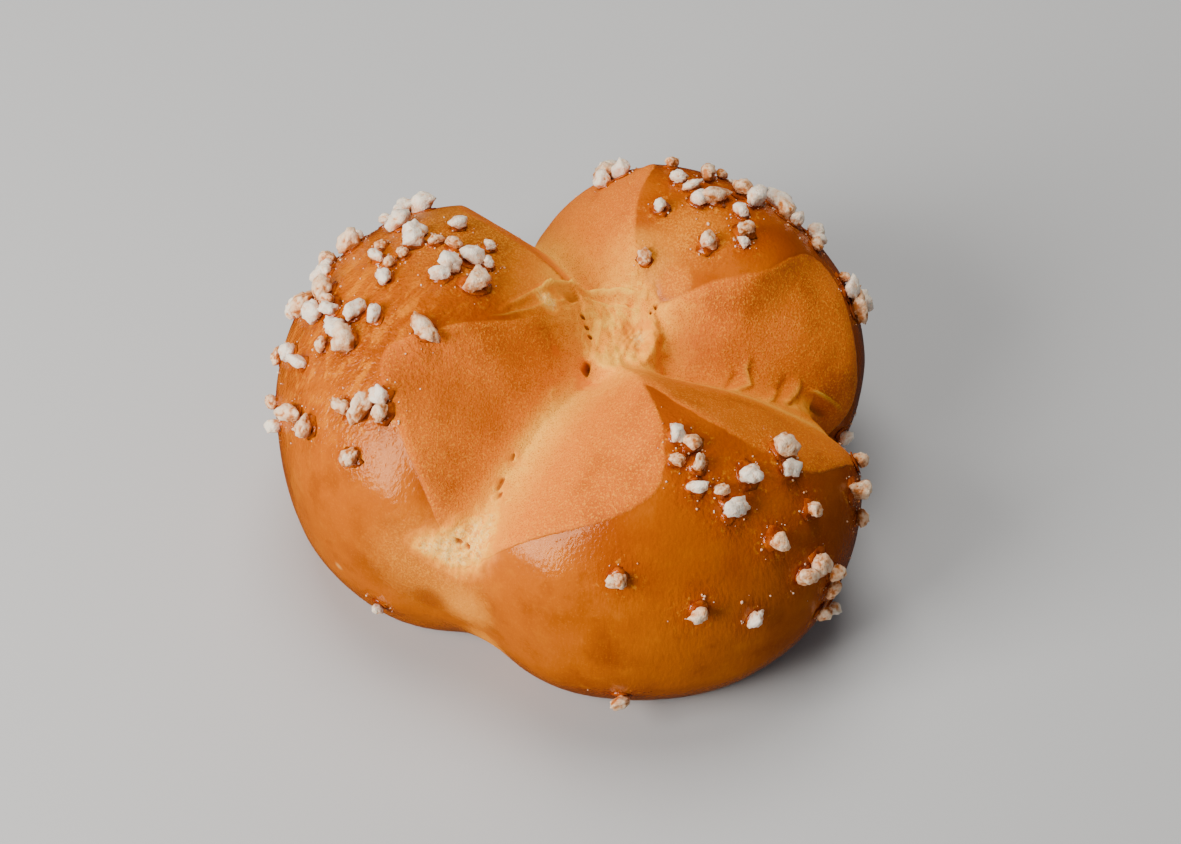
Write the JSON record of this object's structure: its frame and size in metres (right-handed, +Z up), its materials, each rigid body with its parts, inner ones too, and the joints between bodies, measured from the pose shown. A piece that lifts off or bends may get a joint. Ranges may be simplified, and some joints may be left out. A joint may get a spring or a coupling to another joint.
{
  "type": "brioche bun",
  "caption": "Baked brioche bun with glazed lobes that open round a torn heart, pearl sugar baked on its domes, and a flat underside.",
  "frame": {"origin": "on the flat underside, below the middle of the bun", "axes": "+Z up from the underside to the domes, +X towards the notch between the back and front lobes, +Y towards the back lobe"},
  "size_m": [0.1129, 0.1094, 0.0607],
  "materials": {
    "crust": "egg-glazed brown crust with matte tan torn faces"
  },
  "bodies": {
    "root": {"brioche": "crust"}
  },
  "joints": []
}
